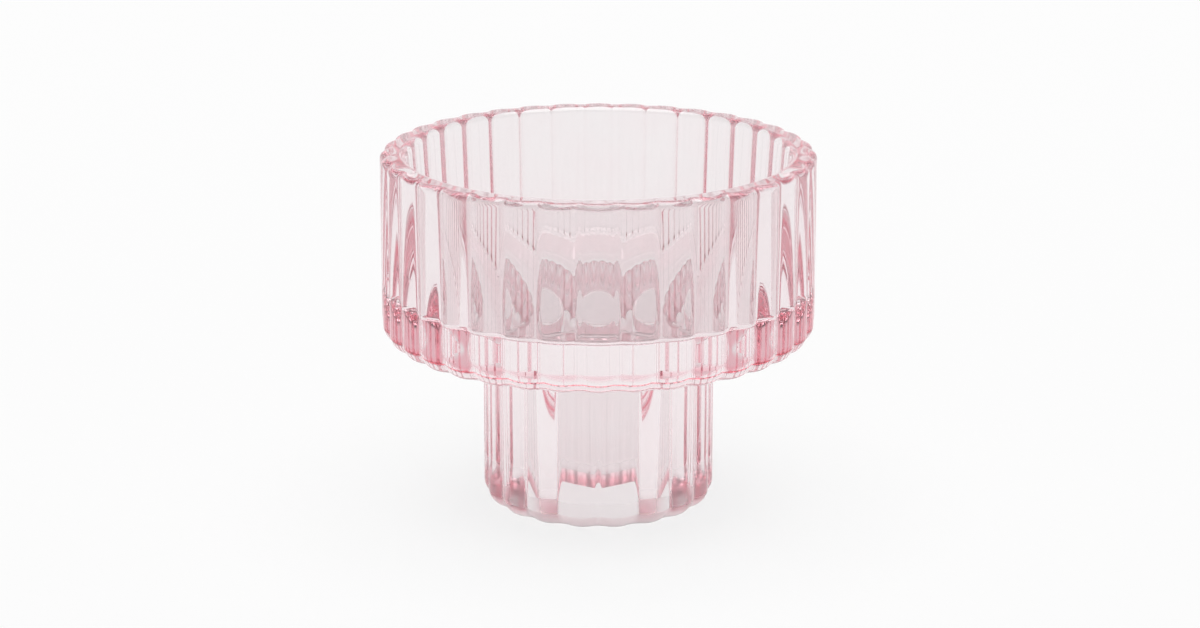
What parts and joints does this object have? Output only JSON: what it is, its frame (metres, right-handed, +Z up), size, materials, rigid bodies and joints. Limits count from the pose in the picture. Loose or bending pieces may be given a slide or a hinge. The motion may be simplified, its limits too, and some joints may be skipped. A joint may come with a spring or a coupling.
{
  "type": "glass candlestick",
  "caption": "Ribbed pink glass candlestick: a wide tealight cup on a narrow ribbed foot that is a dinner candle socket when turned over.",
  "frame": {"origin": "centre of the bottom of the foot, where the candlestick stands", "axes": "+Z up along the candlestick's axis, through the mouth of the cup"},
  "size_m": [0.08, 0.08, 0.0663],
  "materials": {
    "pink_glass": "clear pressed glass with a pale pink tint, fire polished",
    "clear_adhesive": "clear cured adhesive film"
  },
  "bodies": {
    "root": {"cup": "pink_glass", "foot": "pink_glass", "bond": "clear_adhesive"}
  },
  "joints": []
}
